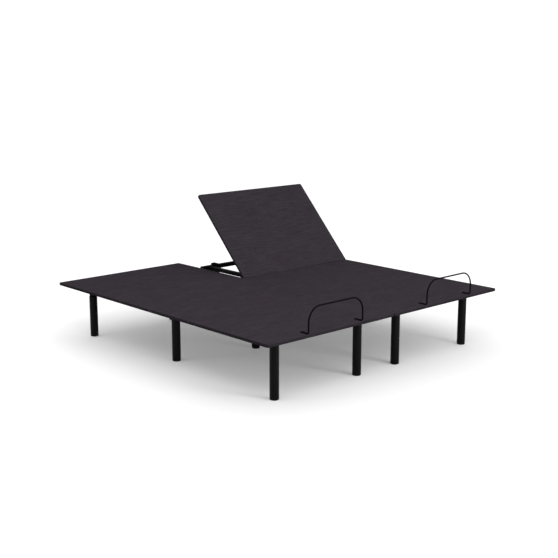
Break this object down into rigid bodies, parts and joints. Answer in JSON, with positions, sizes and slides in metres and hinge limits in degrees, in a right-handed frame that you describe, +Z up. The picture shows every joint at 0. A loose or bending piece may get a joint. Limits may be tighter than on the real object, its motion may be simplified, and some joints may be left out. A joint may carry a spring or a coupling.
{
  "type": "adjustable bed base",
  "caption": "Split adjustable bed base: flat fabric-covered deck halves on round legs, with motor-raised head and knee sections and wire mattress retainer bars; one head section is raised.",
  "frame": {"origin": "on the floor, under the middle of the deck", "axes": "+X to the right seen from the foot end, +Y along the bed to the head end, +Z up"},
  "size_m": [1.9368, 2.02, 0.8666],
  "materials": {
    "deck_fabric": "dark charcoal woven upholstery",
    "plywood": "black-stained plywood",
    "frame_black": "black satin powder coat",
    "leg_black": "black satin powder coat",
    "black_plastic": "moulded black plastic",
    "housing_plastic": "moulded black plastic",
    "rubber": "black rubber",
    "rod_steel": "ground steel",
    "zinc_steel": "zinc-plated steel"
  },
  "bodies": {
    "base": {"actuator_brackets": "frame_black", "control_boxes": "housing_plastic", "cross_rails": "frame_black", "head_actuators": "housing_plastic", "head_leg_brackets": "frame_black", "leg_actuators": "housing_plastic", "leg_glides": "black_plastic", "leg_studs": "zinc_steel", "legs": "leg_black", "link_brackets": "frame_black", "mid_leg_brackets": "frame_black", "rail_end_caps": "black_plastic", "rest_pads": "rubber", "seat_boards": "plywood", "seat_covers": "deck_fabric", "seat_hinge_leaves": "zinc_steel", "seat_hinge_pins": "zinc_steel", "side_rails": "frame_black", "left_head_fold_strip": "deck_fabric", "left_thigh_fold_strip": "deck_fabric", "right_head_fold_strip": "deck_fabric", "right_thigh_fold_strip": "deck_fabric"},
    "left_head": {"left_head_board": "plywood", "left_head_cover": "deck_fabric", "left_head_hinge_leaves": "zinc_steel", "left_head_frame": "frame_black"},
    "left_head_rod": {"left_head_rod": "rod_steel"},
    "left_thigh": {"left_thigh_board": "plywood", "left_thigh_cover": "deck_fabric", "left_thigh_hinge_leaves": "zinc_steel", "left_thigh_frame": "frame_black", "left_knee_fold_strip": "deck_fabric"},
    "left_leg_rod": {"left_leg_rod": "rod_steel"},
    "left_calf": {"left_calf_board": "plywood", "left_calf_cover": "deck_fabric", "left_calf_hinge_leaves": "zinc_steel", "left_calf_frame": "frame_black", "left_retainer_bar": "frame_black", "left_retainer_bolts": "zinc_steel"},
    "left_links": {"left_leg_links": "frame_black"},
    "right_head": {"right_head_board": "plywood", "right_head_cover": "deck_fabric", "right_head_hinge_leaves": "zinc_steel", "right_head_frame": "frame_black"},
    "right_head_rod": {"right_head_rod": "rod_steel"},
    "right_thigh": {"right_thigh_board": "plywood", "right_thigh_cover": "deck_fabric", "right_thigh_hinge_leaves": "zinc_steel", "right_thigh_frame": "frame_black", "right_knee_fold_strip": "deck_fabric"},
    "right_leg_rod": {"right_leg_rod": "rod_steel"},
    "right_calf": {"right_calf_board": "plywood", "right_calf_cover": "deck_fabric", "right_calf_hinge_leaves": "zinc_steel", "right_calf_frame": "frame_black", "right_retainer_bar": "frame_black", "right_retainer_bolts": "zinc_steel"},
    "right_links": {"right_leg_links": "frame_black"}
  },
  "joints": [
    {"name": "left_head_tilt", "type": "hinge", "parent": "base", "child": "left_head", "pos_m": [-0.4844, 0.3035, 0.3388], "axis": [1, 0, 0], "range_deg": [0, 60], "deforming": ["left_head_fold_strip"]},
    {"name": "left_head_push", "type": "slide", "parent": "base", "child": "left_head_rod", "axis": [0, 1, 0], "range_m": [0, 0.11199]},
    {"name": "left_thigh_tilt", "type": "hinge", "parent": "base", "child": "left_thigh", "pos_m": [-0.4844, -0.0005, 0.3388], "axis": [-1, 0, 0], "range_deg": [0, 35], "deforming": ["left_thigh_fold_strip", "left_knee_fold_strip"]},
    {"name": "left_calf_level", "type": "hinge", "parent": "left_thigh", "child": "left_calf", "pos_m": [-0.4844, -0.3565, 0.3388], "axis": [1, 0, 0], "range_deg": [0, 35]},
    {"name": "left_link_swing", "type": "hinge", "parent": "base", "child": "left_links", "pos_m": [-0.4844, -0.33001, 0.2928], "axis": [-1, 0, 0], "range_deg": [0, 35]},
    {"name": "left_leg_push", "type": "slide", "parent": "base", "child": "left_leg_rod", "axis": [0, -1, 0], "range_m": [0, 0.0625]},
    {"name": "right_head_tilt", "type": "hinge", "parent": "base", "child": "right_head", "pos_m": [0.4844, 0.3035, 0.3388], "axis": [1, 0, 0], "range_deg": [-46.76, 13.24], "deforming": ["right_head_fold_strip"]},
    {"name": "right_head_push", "type": "slide", "parent": "base", "child": "right_head_rod", "axis": [0, 1, 0], "range_m": [-0.0873, 0.02479]},
    {"name": "right_thigh_tilt", "type": "hinge", "parent": "base", "child": "right_thigh", "pos_m": [0.4844, -0.0005, 0.3388], "axis": [-1, 0, 0], "range_deg": [0, 35], "deforming": ["right_thigh_fold_strip", "right_knee_fold_strip"]},
    {"name": "right_calf_level", "type": "hinge", "parent": "right_thigh", "child": "right_calf", "pos_m": [0.4844, -0.3565, 0.3388], "axis": [1, 0, 0], "range_deg": [0, 35]},
    {"name": "right_link_swing", "type": "hinge", "parent": "base", "child": "right_links", "pos_m": [0.4844, -0.33001, 0.2928], "axis": [-1, 0, 0], "range_deg": [0, 35]},
    {"name": "right_leg_push", "type": "slide", "parent": "base", "child": "right_leg_rod", "axis": [0, -1, 0], "range_m": [0, 0.0625]}
  ],
  "couplings": [
    {"joint": "left_head_push", "follows": "left_head_tilt", "m_per_rad": 0.10684},
    {"joint": "left_calf_level", "follows": "left_thigh_tilt", "ratio": 1},
    {"joint": "left_link_swing", "follows": "left_thigh_tilt", "ratio": 1},
    {"joint": "left_leg_push", "follows": "left_thigh_tilt", "m_per_rad": 0.10215},
    {"joint": "right_head_push", "follows": "right_head_tilt", "m_per_rad": 0.10684},
    {"joint": "right_calf_level", "follows": "right_thigh_tilt", "ratio": 1},
    {"joint": "right_link_swing", "follows": "right_thigh_tilt", "ratio": 1},
    {"joint": "right_leg_push", "follows": "right_thigh_tilt", "m_per_rad": 0.10215}
  ]
}
